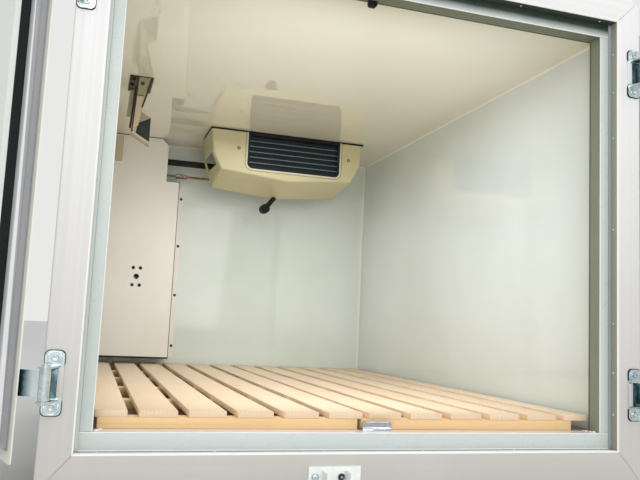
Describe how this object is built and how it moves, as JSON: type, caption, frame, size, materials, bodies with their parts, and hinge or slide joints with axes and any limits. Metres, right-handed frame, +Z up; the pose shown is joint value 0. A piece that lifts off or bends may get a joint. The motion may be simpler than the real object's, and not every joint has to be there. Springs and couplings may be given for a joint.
{
  "type": "insulated refrigerated box body",
  "caption": "Insulated cold box body of a small refrigerated truck, both rear doors swung open, with evaporator, duckboards and subframe.",
  "frame": {"origin": "centre of the chassis bolt pattern, on the underside of the chassis sills and feet", "axes": "+Z up, +Y towards the truck's cab, so the doorway faces -Y, +X to the right-hand side of the truck seen from behind"},
  "size_m": [2.0891, 2.012, 1.358],
  "materials": {
    "panel_gelcoat": "glossy glass-fibre laminate with a gel coat",
    "frame_aluminium": "white painted aluminium extrusion",
    "jamb_plastic": "ribbed extruded plastic over foam",
    "rail_aluminium": "white painted aluminium extrusion",
    "cream_plastic": "extruded plastic moulding",
    "pale_wood": "planed softwood",
    "beige_abs": "moulded plastic with a fine grain",
    "black_plastic": "moulded black plastic",
    "coil_fins": "aluminium fins",
    "black_rubber": "black rubber and closed-cell foam",
    "cover_plastic": "formed plastic sheet",
    "copper_tube": "drawn copper tube",
    "zinc_steel": "bright zinc-plated steel",
    "chassis_steel": "black painted steel",
    "door_gelcoat": "glossy glass-fibre laminate with a gel coat",
    "edge_plastic": "extruded grey plastic",
    "astragal_aluminium": "white painted aluminium extrusion"
  },
  "bodies": {
    "box": {"base_rail_front": "rail_aluminium", "base_rail_left": "rail_aluminium", "base_rail_right": "rail_aluminium", "bolt_keeper": "zinc_steel", "ceiling_bracket": "zinc_steel", "chassis_sills": "chassis_steel", "corner_coves": "cream_plastic", "corner_post_left": "rail_aluminium", "corner_post_right": "rail_aluminium", "cross_members": "chassis_steel", "door_catches": "zinc_steel", "door_switch": "black_plastic", "drain_elbow": "black_rubber", "duckboard_left": "pale_wood", "duckboard_right": "pale_wood", "evaporator_coil": "coil_fins", "evaporator_grille": "black_plastic", "evaporator_housing": "beige_abs", "evaporator_seal": "black_rubber", "floor_panel": "panel_gelcoat", "front_panel": "panel_gelcoat", "hinge_brackets_left": "zinc_steel", "hinge_brackets_right": "zinc_steel", "jamb_bottom": "jamb_plastic", "jamb_left": "jamb_plastic", "jamb_right": "jamb_plastic", "jamb_top": "jamb_plastic", "liquid_line": "copper_tube", "mounting_feet": "chassis_steel", "pipe_cover": "cover_plastic", "rear_header": "frame_aluminium", "rear_post_left": "frame_aluminium", "rear_post_right": "frame_aluminium", "rear_sill": "frame_aluminium", "rod_keepers": "zinc_steel", "roof_panel": "panel_gelcoat", "roof_rail_front": "rail_aluminium", "roof_rail_left": "rail_aluminium", "roof_rail_right": "rail_aluminium", "side_panel_left": "panel_gelcoat", "side_panel_right": "panel_gelcoat", "suction_line": "black_rubber"},
    "left_door": {"left_door_astragal": "astragal_aluminium", "left_door_edge": "edge_plastic", "left_door_gasket": "black_rubber", "left_door_hinges": "zinc_steel", "left_door_panel": "door_gelcoat", "left_lock_rod": "zinc_steel", "left_rod_guides": "zinc_steel"},
    "right_door": {"right_door_bolts": "zinc_steel", "right_door_edge": "edge_plastic", "right_door_gasket": "black_rubber", "right_door_hinges": "zinc_steel", "right_door_panel": "door_gelcoat"}
  },
  "joints": [
    {"name": "left_door_hinge", "type": "hinge", "parent": "box", "child": "left_door", "pos_m": [-0.718, -1.021, 0.7], "axis": [0, 0, 1], "range_deg": [-13, 252]},
    {"name": "right_door_hinge", "type": "hinge", "parent": "box", "child": "right_door", "pos_m": [0.718, -1.021, 0.7], "axis": [0, 0, -1], "range_deg": [-13, 252]}
  ]
}
